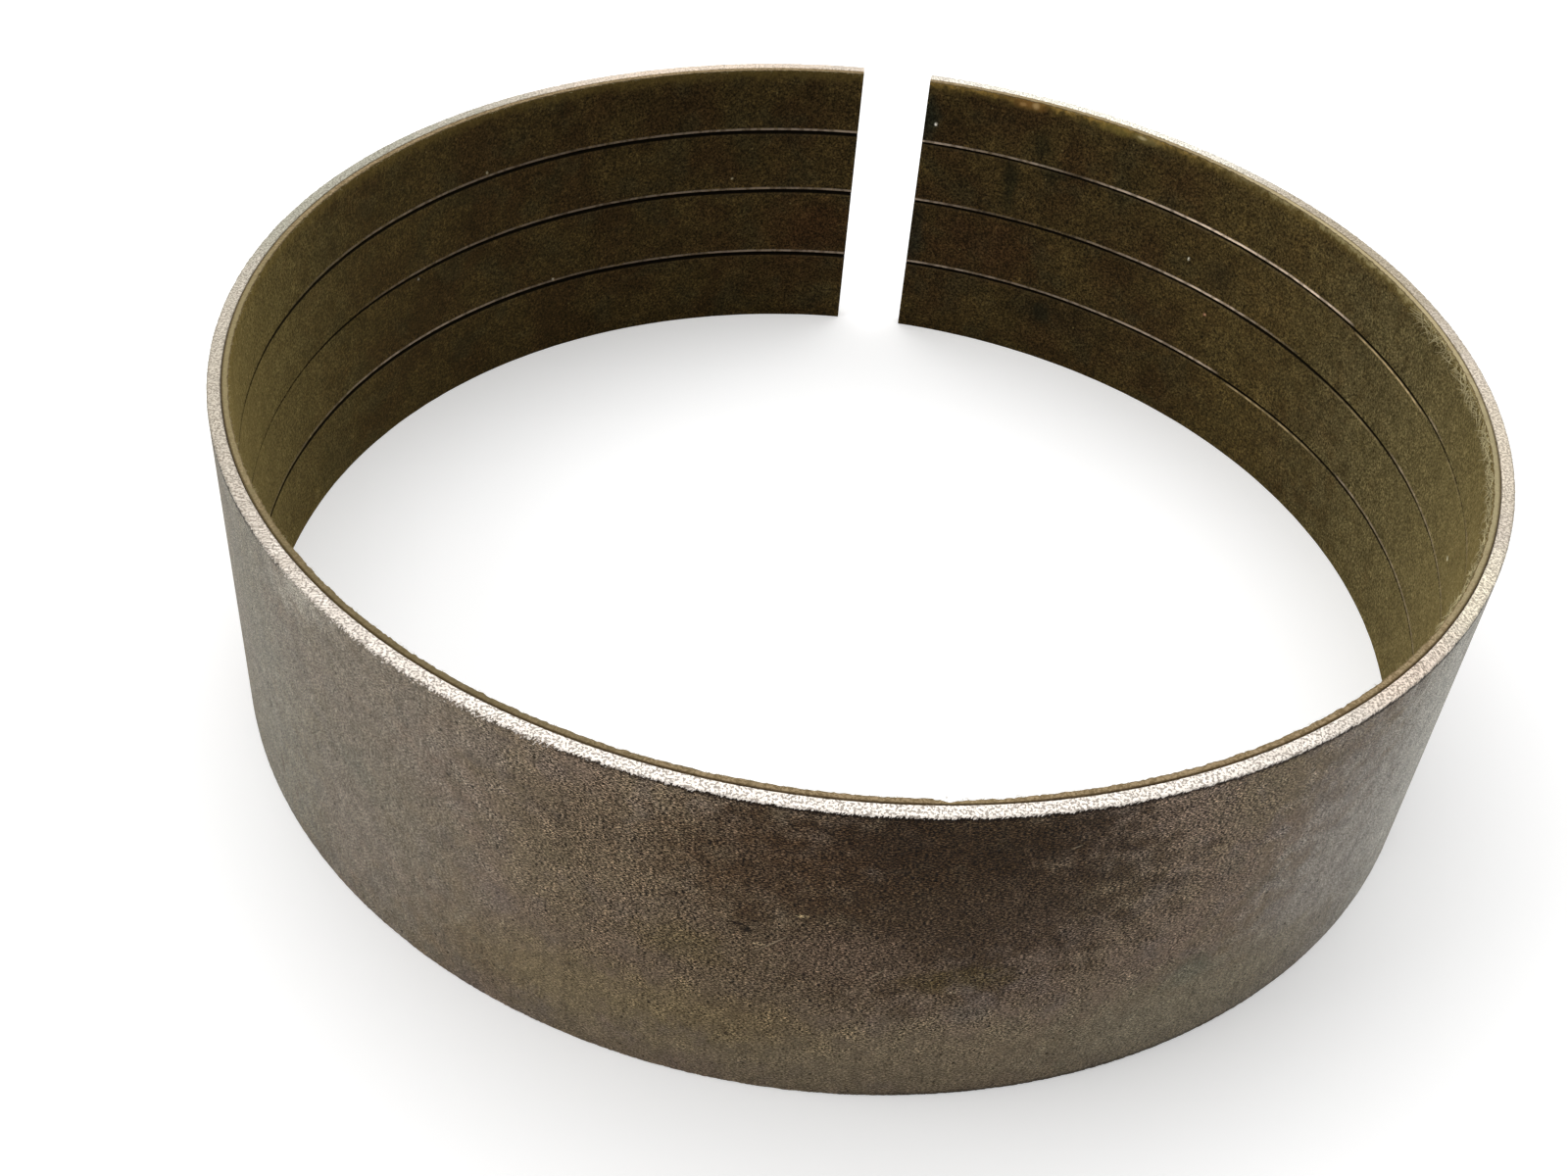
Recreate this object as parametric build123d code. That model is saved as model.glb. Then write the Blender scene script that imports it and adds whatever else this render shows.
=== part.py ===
from build123d import *
import os
from math import asin, degrees

# Transmission brake band: a springy steel strap rolled into an open ring, a grooved friction lining
# bonded to the inside of it, and two forged lugs welded to the outside of it, one beside each open end.
# A pin pushes the lugs towards each other, and the lining then grips the drum inside the ring.
#
# Millimetres. +Z is the ring's axis, the origin is on that axis in the plane of the lower edge,
# and the two open ends face each other across the +Y direction.

# Strap
strap_outer_radius = 80.0
strap_thickness = 1.6
strap_width = 45.0
strap_edge_break = 0.15
end_gap = 10.8  # straight across the open ends, at the strap's outer face

# Bond between strap and lining
bond_thickness = 0.1
bond_recess = 0.25  # how far the adhesive stays back from the strap's two edges

# Lining, as wide as the strap
lining_thickness = 0.8
groove_places = (0.270, 0.530, 0.764)  # shares of the lining's width, up from its lower edge
groove_mouth = 0.7
groove_floor_width = 0.35
groove_floor = 0.3  # lining that is left under a groove

# Lugs, both the same, set at the middle of the strap's width
lug_setback = 5.0  # along the strap, from its end to the lug's foot
lug_foot_length = 25.0
lug_foot_thickness = 2.2  # under the post's front face, where the foot is thinnest
lug_foot_corner = 2.0
lug_width = 24.0
post_heel_room = 2.5  # foot that shows behind the post, on the side of the strap's end
post_toe_room = 8.0  # foot that shows in front of the post
post_side_room = 2.5  # foot that shows at each side of the post
post_side_taper = 2.0  # each side, from root to top
post_top_length = 8.0
post_edge_fillet = 1.2
post_root_fillet = 1.6

# Pin seats, one in the face of each post that looks away from the open ends
seat_radius = 4.0
seat_depth = 5.0
seat_tip_depth = 3.0  # the cone past the seat's straight wall
seat_mouth_chamfer = 0.6
seat_sill = 0.4  # flat of the post between its root fillet and the seat's wall
seat_roof = 2.4  # metal over the seat

strap_inner_radius = strap_outer_radius - strap_thickness
lining_outer_radius = strap_inner_radius - bond_thickness
lining_inner_radius = lining_outer_radius - lining_thickness
half_gap_angle = degrees(asin(end_gap / 2 / strap_outer_radius))

# Heights of the lug over the ring's axis, taken where the post's front face stands
foot_top = strap_outer_radius + lug_foot_thickness
seat_axis = foot_top + post_root_fillet + seat_sill + seat_radius
post_top = seat_axis + seat_radius + seat_roof

lug_heel = lug_foot_length - post_toe_room  # from the post's front face back to the foot's end
post_root_length = lug_heel - post_heel_room
post_root_width = lug_width - 2 * post_side_room
post_top_width = post_root_width - 2 * post_side_taper


def arc_angle(length):
    """Angle in degrees that a length takes up along the strap's outer face."""
    return degrees(length / strap_outer_radius)


def open_ring(section):
    """Turn a section about the ring's axis, from one open end round to the other."""
    ring = revolve(section, Axis.Z, 360 - 2 * half_gap_angle)
    return Rot(Z=90 + half_gap_angle) * ring


def band_section(inner_radius, outer_radius, recess):
    """Upright rectangle between two radii, with its ends held back from the strap's edges."""
    centre = Pos((inner_radius + outer_radius) / 2, strap_width / 2)
    return Plane.XZ * centre * Rectangle(outer_radius - inner_radius, strap_width - 2 * recess)


def steel_strap():
    """Square-cut strip, rolled to a ring, with its four long corners broken by a file."""
    section = band_section(strap_inner_radius, strap_outer_radius, 0)
    return open_ring(chamfer(section.vertices(), strap_edge_break))


def bond_film():
    """Cured adhesive that shows as a dark line between the steel and the lining."""
    return open_ring(band_section(lining_outer_radius, strap_inner_radius, bond_recess))


def groove_section(height):
    """Tapered groove that opens at the lining's working face and leaves its floor uncut."""
    floor_radius = lining_outer_radius - groove_floor
    corners = [
        (lining_inner_radius, height - groove_mouth / 2),
        (lining_inner_radius, height + groove_mouth / 2),
        (floor_radius, height + groove_floor_width / 2),
        (floor_radius, height - groove_floor_width / 2),
    ]
    return Plane.XZ * make_face(Polyline(*corners, close=True))


def friction_lining():
    """One strip of friction paper, with the oil grooves running all the way round its working face."""
    section = band_section(lining_inner_radius, lining_outer_radius, 0)
    for place in groove_places:
        section -= groove_section(place * strap_width)
    return open_ring(section)


def lug_foot():
    """Flat-topped pad with rounded corners, from the ring's axis up, so it is still to be cut to the strap."""
    middle = lug_foot_length / 2 - lug_heel
    plan = Pos(middle, 0) * RectangleRounded(lug_foot_length, lug_width, lug_foot_corner)
    return extrude(Plane.XZ.offset(-foot_top) * plan, foot_top)


def lug_post():
    """Tapered block with an upright front face and a back that slopes down towards the strap's end."""
    from_the_side = [
        (0, foot_top),
        (0, post_top),
        (-post_top_length, post_top),
        (-post_root_length, foot_top),
    ]
    from_the_front = [
        (foot_top, post_root_width / 2),
        (post_top, post_top_width / 2),
        (post_top, -post_top_width / 2),
        (foot_top, -post_root_width / 2),
    ]
    side = make_face(Polyline(*from_the_side, close=True))
    front = Plane.YZ * make_face(Polyline(*from_the_front, close=True))
    post = extrude(side, lug_width, both=True) & extrude(front, -lug_foot_length)
    under = post.edges().filter_by_position(Axis.Y, foot_top, foot_top)
    return fillet([edge for edge in post.edges() if edge not in under], post_edge_fillet)


def pin_seat():
    """Blind round socket with a conical floor and a chamfered mouth, cut along the pin's line."""
    edge = [
        (seat_radius + seat_mouth_chamfer * 2, seat_mouth_chamfer),
        (seat_radius, -seat_mouth_chamfer),
        (seat_radius, -seat_depth),
        (0, -seat_depth - seat_tip_depth),
        (0, seat_mouth_chamfer),
    ]
    socket = revolve(Plane.XZ * make_face(Polyline(*edge, close=True)), Axis.Z)
    return Pos(0, seat_axis, 0) * Rot(Y=90) * socket


def lug():
    """Forged lug in its own place, with the pin's line along +X and the strap's radius along +Y."""
    body = lug_foot() + lug_post()
    pad = body.faces().filter_by_position(Axis.Y, foot_top, foot_top)[0]
    body = fillet(pad.inner_wires().edges(), post_root_fillet)
    return body - Cylinder(strap_outer_radius, 2 * lug_width) - pin_seat()


def placed_lug():
    """Lug turned to its place beside the open end on the +X side, at half the strap's width."""
    heel_angle = degrees(asin(lug_heel / strap_outer_radius))
    turn = half_gap_angle + arc_angle(lug_setback) + heel_angle
    return Pos(0, 0, strap_width / 2) * Rot(Z=-turn) * lug()


apply_lug = placed_lug()
band = {
    "steel_strap": steel_strap(),
    "bond_film": bond_film(),
    "friction_lining": friction_lining(),
    "apply_lug": apply_lug,
    "anchor_lug": mirror(apply_lug, Plane.YZ),
}

os.makedirs("parts", exist_ok=True)
for name, piece in band.items():
    export_step(piece, f"parts/{name}.step")
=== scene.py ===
"""Transmission brake band: steel strap, grooved friction paper, adhesive and two forged lugs, in metres."""
from functools import reduce
from math import atan2, cos, pi, radians, sin, sqrt

import bmesh
import bpy
import numpy as np
from mathutils import Matrix, Vector


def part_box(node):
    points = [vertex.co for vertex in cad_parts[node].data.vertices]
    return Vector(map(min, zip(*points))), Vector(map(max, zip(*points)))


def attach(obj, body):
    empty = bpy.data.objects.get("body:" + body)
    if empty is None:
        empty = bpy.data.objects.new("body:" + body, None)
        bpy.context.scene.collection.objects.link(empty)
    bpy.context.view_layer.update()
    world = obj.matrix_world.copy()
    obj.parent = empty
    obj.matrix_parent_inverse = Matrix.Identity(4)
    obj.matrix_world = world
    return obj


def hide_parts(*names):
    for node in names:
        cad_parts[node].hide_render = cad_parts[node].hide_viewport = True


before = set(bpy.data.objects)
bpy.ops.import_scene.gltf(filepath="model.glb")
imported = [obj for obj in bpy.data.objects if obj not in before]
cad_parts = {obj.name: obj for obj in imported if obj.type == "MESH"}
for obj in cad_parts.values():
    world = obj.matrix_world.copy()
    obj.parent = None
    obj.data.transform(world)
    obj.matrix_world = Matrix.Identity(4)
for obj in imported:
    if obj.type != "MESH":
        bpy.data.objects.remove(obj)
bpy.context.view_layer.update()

MM = 0.001
WHOLE_TURN = 2 * pi
SEEDS = {
    # of the random draws
    "burr": 11,
    "slow burr": 12,
    "edge dimples": 13,
    "fray in": 21,
    "fray down": 22,
    "slow fray": 23,
    "paper": 25,
    "grooves": 26,  # the upper groove's, and one more for each groove below it
    "adhesive": 31,
    "loose fibres": 41,
    "curled fibres": 43,
}


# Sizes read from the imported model


def node_points(node):
    """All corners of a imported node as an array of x, y and z."""
    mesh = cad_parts[node].data
    flat = np.zeros(len(mesh.vertices) * 3)
    mesh.vertices.foreach_get("co", flat)
    return flat.reshape(-1, 3)


def radii(node):
    """Smallest and largest distance of a node's corners from the ring's axis."""
    points = node_points(node)
    away = np.hypot(points[:, 0], points[:, 1])
    return float(away.min()), float(away.max())


strap_inner, strap_outer = radii("steel_strap")
film_inner, film_outer = radii("bond_film")
lining_inner, lining_outer = radii("friction_lining")
band_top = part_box("steel_strap")[1].z
film_low, film_high = (corner.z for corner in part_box("bond_film"))
strap_points = node_points("steel_strap")
half_gap = float(np.abs(np.arctan2(strap_points[:, 0], strap_points[:, 1])).min())


# The photograph's camera, and places on the ring found from its pixels

PHOTO_WIDTH, PHOTO_HEIGHT = 1600, 1200
FOCAL_PIXELS = 1885.9
SENSOR_WIDTH = 36.0
CAMERA_PLACE = Vector((-0.0055, -2.4724, 2.1516)) * strap_outer
CAMERA_YAW = radians(-1.99)
CAMERA_PITCH = 0.7069  # radians, as the roll is
CAMERA_ROLL = 0.0967


def camera_axes():
    """Right, up and forward of a camera that is turned by yaw, tipped down by pitch and rolled."""
    flat = Vector((sin(CAMERA_YAW), cos(CAMERA_YAW), 0))
    forward = flat * cos(CAMERA_PITCH) - Vector((0, 0, sin(CAMERA_PITCH)))
    level = Vector((cos(CAMERA_YAW), -sin(CAMERA_YAW), 0))
    upright = level.cross(forward)
    right = level * cos(CAMERA_ROLL) + upright * sin(CAMERA_ROLL)
    up = upright * cos(CAMERA_ROLL) - level * sin(CAMERA_ROLL)
    return right, up, forward


def ring_place(pixel, radius, far):
    """Angle and height where a pixel's line of sight meets the ring's cylinder, on its near or its far side.

    The line C + tD meets x² + y² = radius² where a t² + 2 b t + c = 0. A pixel that misses the ring
    counts as the nearest place on its outline.
    """
    right, up, forward = camera_axes()
    across, down = pixel[0] - PHOTO_WIDTH / 2, pixel[1] - PHOTO_HEIGHT / 2
    sight = forward * FOCAL_PIXELS + right * across - up * down
    a = sight.x**2 + sight.y**2
    b = CAMERA_PLACE.x * sight.x + CAMERA_PLACE.y * sight.y
    c = CAMERA_PLACE.x**2 + CAMERA_PLACE.y**2 - radius**2
    root = sqrt(max(b * b - a * c, 0))
    point = CAMERA_PLACE + sight * ((-b + (root if far else -root)) / a)
    return atan2(point.x, point.y) % WHOLE_TURN, point.z


def on_outside(*pixel):
    """Surface place (arc length, height) on the strap's outer face."""
    angle, height = ring_place(pixel, strap_outer, far=False)
    return angle * strap_outer, height


def on_lining(*pixel):
    """Surface place (arc length, height) on the lining's working face."""
    angle, height = ring_place(pixel, lining_inner, far=True)
    return angle * lining_inner, height


def out_of_sight(degrees, share):
    """Surface place on the strap's outer face by degrees from the gap's middle and share of the height."""
    return radians(degrees) * strap_outer, share * band_top


def on_top_corner(radius):
    """Finds surface places near the band's top corner: of a pixel's two, the one at about that height."""
    def locate(*pixel):
        found = [ring_place(pixel, radius, far) for far in (False, True)]
        angle, height = min(found, key=lambda place: abs(place[1] - band_top))
        return angle * radius, height
    return locate


# Mesh tools

TOP_EDGE_REACH = 1.0 * MM  # how far under the band's top a corner still counts as one of its top edge
SHARP_ANGLE = 40


def smooth_step(share):
    """3s² - 2s³, which eases from 0 to 1 with s held between 0 and 1."""
    share = np.clip(share, 0, 1)
    return share * share * (3 - 2 * share)


def wander(places, cell, seed):
    """Random heights from -1 to 1 at knots one cell apart, joined smoothly, read off at the places."""
    knots = np.random.default_rng(seed).uniform(-1, 1, int(np.max(places) / cell) + 3)
    first = np.floor(places / cell).astype(int)
    share = smooth_step(places / cell - first)
    return knots[first] * (1 - share) + knots[first + 1] * share


def wander_grid(u, v, cell, seed):
    """The same on a surface: random heights at the corners of square cells, joined smoothly both ways."""
    u, v = u / cell, v / cell
    v = v - v.min()
    knots = np.random.default_rng(seed).uniform(-1, 1, (int(u.max()) + 3, int(v.max()) + 3))
    i, j = np.floor(u).astype(int), np.floor(v).astype(int)
    a, b = smooth_step(u - i), smooth_step(v - j)
    near = knots[i, j] * (1 - a) + knots[i + 1, j] * a
    far = knots[i, j + 1] * (1 - a) + knots[i + 1, j + 1] * a
    return near * (1 - b) + far * b


def corner_arc(radius, height, size, start, count):
    """Quarter circle of a rounded corner, as (radius, height) points from the start angle in degrees."""
    turn = np.radians(np.linspace(start, start + 90, count))
    return np.column_stack([radius + size * np.cos(turn), height + size * np.sin(turn)])


def ring_angles(count):
    """Angles from one open end round to the other, clockwise from the middle of the gap."""
    return np.linspace(half_gap, WHOLE_TURN - half_gap, count)


def ring_piece(name, profile, count, face, shape=None):
    """Closed profile carried round the ring's axis between the open ends, with a flat cap at each end.

    A point at angle a, radius r and height h lies at (r sin a, r cos a, h). The profile runs
    counter-clockwise with the axis on its left. The surface map's u is the arc length at the radius of
    the face that shows, and its v is the height, to which the top edge adds the distance from that face,
    both in metres, so the map runs on from the face over the top edge.
    """
    angle, column = np.meshgrid(ring_angles(count), np.arange(len(profile)), indexing="ij")
    radius, height = profile[column, 0], profile[column, 1]
    over_edge = np.abs(radius - face) * (height > band_top - TOP_EDGE_REACH)
    surface = np.column_stack([(angle * face).ravel(), (height + over_edge).ravel()])
    if shape is not None:
        angle, radius, height = shape(angle, radius, height)
    points = np.stack([radius * np.sin(angle), radius * np.cos(angle), height], -1).reshape(-1, 3)
    rows = np.arange(count - 1)[:, None] * len(profile)
    here = np.arange(len(profile))[None, :]
    after = (here + 1) % len(profile)
    faces = np.stack([rows + here, rows + after, rows + len(profile) + after, rows + len(profile) + here], -1)
    start_cap = list(range(len(profile)))[::-1]
    end_cap = [(count - 1) * len(profile) + place for place in range(len(profile))]
    mesh = bpy.data.meshes.new(name)
    mesh.from_pydata(points.tolist(), [], faces.reshape(-1, 4).tolist() + [start_cap, end_cap])
    return finished_piece(name, mesh, surface)


def in_scene(name, data):
    """Object at the origin that puts a mesh, a lamp or a camera into the scene."""
    thing = bpy.data.objects.new(name, data)
    bpy.context.scene.collection.objects.link(thing)
    return thing


def finished_piece(name, mesh, surface=None, sharp=SHARP_ANGLE):
    """Links a mesh as a piece of the fixed body, smooth but for its sharp edges, with its surface map."""
    mesh.validate()
    mesh.shade_smooth()
    mesh.set_sharp_from_angle(angle=radians(sharp))
    if surface is not None:
        corner_points = np.zeros(len(mesh.loops), int)
        mesh.loops.foreach_get("vertex_index", corner_points)
        layer = mesh.uv_layers.new(name="surface")
        layer.data.foreach_set("uv", surface[corner_points].astype(np.float32).ravel())
    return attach(in_scene(name, mesh), "root")


# Steel strap

STRAP_COUNT = 2900
STRAP_CORNER = 0.18 * MM
FACE_SHARES = (0.12, 0.35, 0.60, 0.82, 0.93, 0.97, 0.985)  # heights of the outer face's points in the section
BURR_REACH = 0.30 * MM
BURR_CELL = 0.34 * MM
BURR_DEPTH = 0.06 * MM
SLOW_BURR_CELL = 1.9 * MM
SLOW_BURR_DEPTH = 0.03 * MM
BURR_DROP = 0.6  # share of a dent that also takes the corner down
EDGE_DIMPLE_CELL = 0.42 * MM
EDGE_DIMPLE_DEPTH = 0.025 * MM


def strap_profile():
    """Section of the strip: a tall rectangle whose four corners are rounded, with points close at the top."""
    near, far, size = strap_inner + STRAP_CORNER, strap_outer - STRAP_CORNER, STRAP_CORNER
    low, high = size, band_top - size
    face_heights = np.array(FACE_SHARES) * band_top
    top_radii = np.linspace(far, near, 6)[1:-1]
    return np.vstack([
        corner_arc(near, low, size, 180, 3),
        corner_arc(far, low, size, 270, 4),
        np.column_stack([np.full(len(face_heights), strap_outer), face_heights]),
        corner_arc(far, high, size, 0, 7),
        np.column_stack([top_radii, np.full(len(top_radii), band_top)]),
        corner_arc(near, high, size, 90, 4),
    ])


def strap_wear(angle, radius, height):
    """Dents the sheared corners inwards and dimples the top edge; nothing stands out past the true section.

    The dent is largest at each outer corner and fades as one over e to the square of the distance from it.
    """
    arc = angle * strap_outer
    quick_burr = BURR_DEPTH * np.abs(wander(arc, BURR_CELL, SEEDS["burr"]))
    burr = quick_burr + SLOW_BURR_DEPTH * np.abs(wander(arc, SLOW_BURR_CELL, SEEDS["slow burr"]))
    for edge in (band_top, 0.0):
        nearness = np.exp(-(((strap_outer - radius) ** 2 + (edge - height) ** 2) / BURR_REACH**2))
        radius = radius - nearness * burr
        height = height + np.sign(band_top / 2 - edge) * nearness * burr * BURR_DROP
    on_top = smooth_step((height - band_top + BURR_REACH) / BURR_REACH)
    dimple = np.abs(wander_grid(arc, radius, EDGE_DIMPLE_CELL, SEEDS["edge dimples"]))
    return angle, radius, height - on_top * EDGE_DIMPLE_DEPTH * dimple


# Friction lining

LINING_COUNT = 1880
LINING_CORNER = 0.10 * MM
LINING_DROP = 0.02 * MM  # how far the cut top of the lining lies under the strap's edge
GROOVE_SHARES = (0.764, 0.530, 0.270)
GROOVE_MOUTH = 0.34 * MM
GROOVE_FLOOR = 0.17 * MM
GROOVE_DEPTH = 0.45 * MM
GROOVE_WANDER = 0.06 * MM
GROOVE_WANDER_CELL = 14 * MM
SHALLOWEST = 0.12  # share of a groove's depth that is left where its wear says none
NARROWEST = 0.20  # the same for its width
WIDTH_GAIN = 0.75  # how much of the width comes back at full depth
LIP_HEIGHT = 0.10 * MM
LIP_REACH = 0.36 * MM
LIP_STEPS = ((1.0, 0.0), (0.6, -0.6), (0.25, -1.0), (0.0, -0.5))  # shares of the lip's reach and height
LOWER_LIP = 0.45  # height of a lower lip beside the upper one's
LOWEST_LIP = 0.25  # share of a lip's height that is left where it is dark
FRAY_CELL = 0.36 * MM
FRAY_DEPTH = 0.08 * MM
FRAY_REACH = 0.40 * MM
SLOW_FRAY = 0.6  # depth of the slow fray beside the quick one's
SLOW_FRAY_CELL = FRAY_CELL * 5
PAPER_CELL = 2.2 * MM
PAPER_DEPTH = 0.02 * MM

GROOVE_WEAR = (
    # for each groove: a pixel on it, how deep and wide it is there from 0 to 1, and how bright its raised
    # upper lip is, partly a painted highlight; a number below 0 stands for a bright lower lip instead
    (
        ((945, 143), 0.50, 0.54),
        ((1010, 157), 0.50, 0.20),
        ((1060, 170), 0.45, 0.40),
        ((1100, 181), 0.55, 0.04),
        ((1150, 197), 0.50, 0.60),
        ((1195, 216), 0.55, 0.55),
        ((1245, 240), 0.52, 1.30),
        ((1290, 266), 0.60, 0.60),
        ((1345, 304), 0.45, 0.92),
        ((1375, 335), 0.60, 0.38),
        ((1393, 358), 0.65, -1.00),
        ((1440, 420), 0.65, -1.00),
        ((1452, 450), 0.45, 0.25),
        ((1475, 500), 0.38, -0.20),
        ((1492, 560), 0.20, 0.10),
        ((1460, 700), 0.15, 0.00),
        ((252, 440), 0.42, 0.00),
        ((265, 380), 0.60, 0.00),
        ((290, 325), 0.70, 0.00),
        ((330, 280), 0.75, 0.08),
        ((400, 225), 0.80, 0.19),
        ((640, 145), 0.90, 0.14),
        ((865, 134), 0.92, 0.36),
    ),
    (
        ((940, 207), 0.60, 0.35),
        ((1000, 217), 0.65, 0.09),
        ((1080, 240), 0.65, 0.05),
        ((1180, 272), 0.58, 0.42),
        ((1240, 305), 0.60, 0.82),
        ((1275, 335), 0.75, 0.25),
        ((1385, 435), 0.65, -0.35),
        ((1425, 490), 0.55, 0.23),
        ((1450, 530), 0.40, 0.15),
        ((1468, 610), 0.25, 0.10),
        ((1440, 740), 0.18, 0.00),
        ((268, 520), 0.20, 0.00),
        ((285, 450), 0.34, 0.00),
        ((320, 375), 0.44, 0.00),
        ((360, 325), 0.55, 0.00),
        ((420, 285), 0.70, 0.15),
        ((560, 220), 0.92, 0.15),
        ((860, 196), 0.95, 0.27),
    ),
    (
        ((932, 268), 0.70, 0.37),
        ((1050, 290), 0.65, 0.18),
        ((1160, 335), 0.55, 0.43),
        ((1230, 375), 0.66, 0.52),
        ((1265, 398), 0.62, -0.75),
        ((1310, 435), 0.60, -0.70),
        ((1370, 500), 0.55, 0.25),
        ((1411, 565), 0.50, 0.15),
        ((1432, 640), 0.32, 0.15),
        ((290, 510), 0.75, 0.05),
        ((330, 440), 0.90, 0.10),
        ((400, 370), 0.90, 0.31),
        ((440, 340), 0.95, 0.35),
        ((600, 275), 1.00, 0.10),
        ((850, 256), 0.95, 0.34),
    ),
)

HIDDEN_PLACES = (128, 180, 232)  # degrees from the gap's middle where the front wall hides the grooves
HIDDEN_DEPTH = 0.60
HIDDEN_LIP = 0.20

CHIP_PLACES = (950, 968, 985, 1010, 1040, 1080)  # pixels across the photograph
CHIP_DEPTHS = (0.0, 0.50, 0.36, 0.22, 0.12, 0.0)  # millimetres lost from the top corner
CHIP_ROW = 812  # pixels down it


def groove_wear(angle, height):
    """Depth and lip brightness of the groove nearest to each height, read between GROOVE_WEAR's places."""
    centres = np.array(GROOVE_SHARES) * band_top
    nearest = np.abs(height[..., None] - centres).argmin(-1)
    depth, lip = np.zeros(angle.shape), np.zeros(angle.shape)
    for groove, rows in enumerate(GROOVE_WEAR):
        known = [(ring_place(pixel, lining_inner, far=True)[0], deep, bright) for pixel, deep, bright in rows]
        known += [(radians(place), HIDDEN_DEPTH, HIDDEN_LIP) for place in HIDDEN_PLACES]
        places, depths, lips = np.array(sorted(known)).T
        here = nearest == groove
        depth[here] = np.interp(angle[here], places, depths)
        lip[here] = np.interp(angle[here], places, lips)
    return depth, lip


def groove_rows(centre):
    """Points of one pressed groove from above to below: lip, wall, floor, wall and a lower lip."""
    steps = [(LIP_REACH * reach + GROOVE_MOUTH, lift) for reach, lift in LIP_STEPS]
    upper = [(lining_inner + LIP_HEIGHT * lift, centre + rise) for rise, lift in steps]
    deepest = lining_inner + GROOVE_DEPTH
    floor = [(deepest, centre + GROOVE_FLOOR), (deepest, centre - GROOVE_FLOOR)]
    lower = [(lining_inner + LIP_HEIGHT * lift * LOWER_LIP, centre - rise) for rise, lift in reversed(steps)]
    return upper + floor + lower


def lining_profile():
    """Section of the lining: outer corners square, working-face corners rounded, three grooves between."""
    top = band_top - LINING_DROP
    near, size = lining_inner + LINING_CORNER, LINING_CORNER
    centres = [share * band_top for share in GROOVE_SHARES]
    bounds = [top - size] + centres + [size]
    rows = []
    for place, above in enumerate(bounds[:-1]):
        below = bounds[place + 1]
        if place > 0:
            rows += groove_rows(above)
        flats = np.linspace(above, below, 5)[1:-1]
        rows += [(lining_inner, flat) for flat in flats]
    return np.vstack([
        corner_arc(near, size, size, 180, 3),
        [(lining_outer, 0.0), (lining_outer, top)],
        [(lining_outer * 0.5 + near * 0.5, top)],
        corner_arc(near, top - size, size, 90, 4),
        np.array(rows),
    ])


def chip_depth(angle):
    """Depth of the broken top corner at the front, read between the places that the photograph shows."""
    places = [ring_place((across, CHIP_ROW), lining_inner, far=False)[0] for across in CHIP_PLACES]
    order = np.argsort(places)
    return np.interp(angle, np.array(places)[order], np.array(CHIP_DEPTHS)[order] * MM, left=0, right=0)


def lining_wear(angle, radius, height):
    """Frays the top corner, lets the grooves wander and grow shallow and narrow, and rolls the paper's face.

    The fray fades as one over e to the square of the distance from the corner. A groove's points move
    towards its middle by the share of its width that is lost, and up or down with its own slow wander,
    and both fade as one over e to the fourth power of the distance from its middle.
    """
    arc = angle * lining_inner
    top = band_top - LINING_DROP
    depth, lip = groove_wear(angle, height)
    raised = np.minimum(radius - lining_inner, 0) * (LOWEST_LIP + np.abs(lip))
    on_floor = np.isclose(radius, lining_inner + GROOVE_DEPTH, rtol=0, atol=0.01 * MM)
    radius = np.where(radius < lining_inner, lining_inner + raised, radius)
    floor_depth = GROOVE_DEPTH * (SHALLOWEST + (1 - SHALLOWEST) * depth)
    radius = np.where(on_floor, lining_inner + floor_depth, radius)
    nearness = np.exp(-(((lining_inner - radius) ** 2 + (top - height) ** 2) / FRAY_REACH**2))
    fray_in = wander_grid(arc, height, FRAY_CELL, SEEDS["fray in"])
    slow_fray = SLOW_FRAY * wander(arc, SLOW_FRAY_CELL, SEEDS["slow fray"])
    fray_down = wander(arc, FRAY_CELL, SEEDS["fray down"]) + slow_fray
    on_face = radius < lining_inner + GROOVE_MOUTH
    radius = radius + nearness * FRAY_DEPTH * fray_in
    radius = radius + PAPER_DEPTH * wander_grid(arc, height, PAPER_CELL, SEEDS["paper"]) * on_face
    height = height - nearness * (FRAY_DEPTH * np.abs(fray_down) + chip_depth(angle))
    narrow = NARROWEST + WIDTH_GAIN * depth
    for place, share in enumerate(GROOVE_SHARES):
        above = height - share * band_top
        taken = np.minimum(np.abs(above), GROOVE_MOUTH) * (1 - narrow) * np.sign(above)
        close = np.exp(-((above / (3 * LIP_REACH)) ** 4))
        drift = GROOVE_WANDER * wander(arc, GROOVE_WANDER_CELL, SEEDS["grooves"] + place)
        height = height + close * (drift - taken)
    return angle, np.minimum(radius, lining_outer), height


def mark_grooves(piece, profile):
    """Stores each corner's groove depth and lip brightness, for the finish to read."""
    angle, column = np.meshgrid(ring_angles(LINING_COUNT), np.arange(len(profile)), indexing="ij")
    depth, lip = groove_wear(angle, profile[column, 1])
    for label, values in (("groove_depth", depth), ("lip_light", lip)):
        layer = piece.data.attributes.new(label, "FLOAT", "POINT")
        layer.data.foreach_set("value", values.ravel().astype(np.float32))


# Adhesive film

FILM_COUNT = 1400
FILM_RISE = 0.12 * MM
FILM_CELL = 1.3 * MM


def film_profile():
    """Thin upright rectangle."""
    return np.array([
        (film_inner, film_low),
        (film_outer, film_low),
        (film_outer, film_high),
        (film_inner, film_high),
    ])


def film_wear(angle, radius, height):
    """Lets the top of the squeezed-out adhesive rise and fall along the band."""
    rise = FILM_RISE * wander(angle * film_outer, FILM_CELL, SEEDS["adhesive"])
    return angle, radius, height + rise * (height > band_top / 2)


# Fibres pulled out of the lining's cut edge

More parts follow.
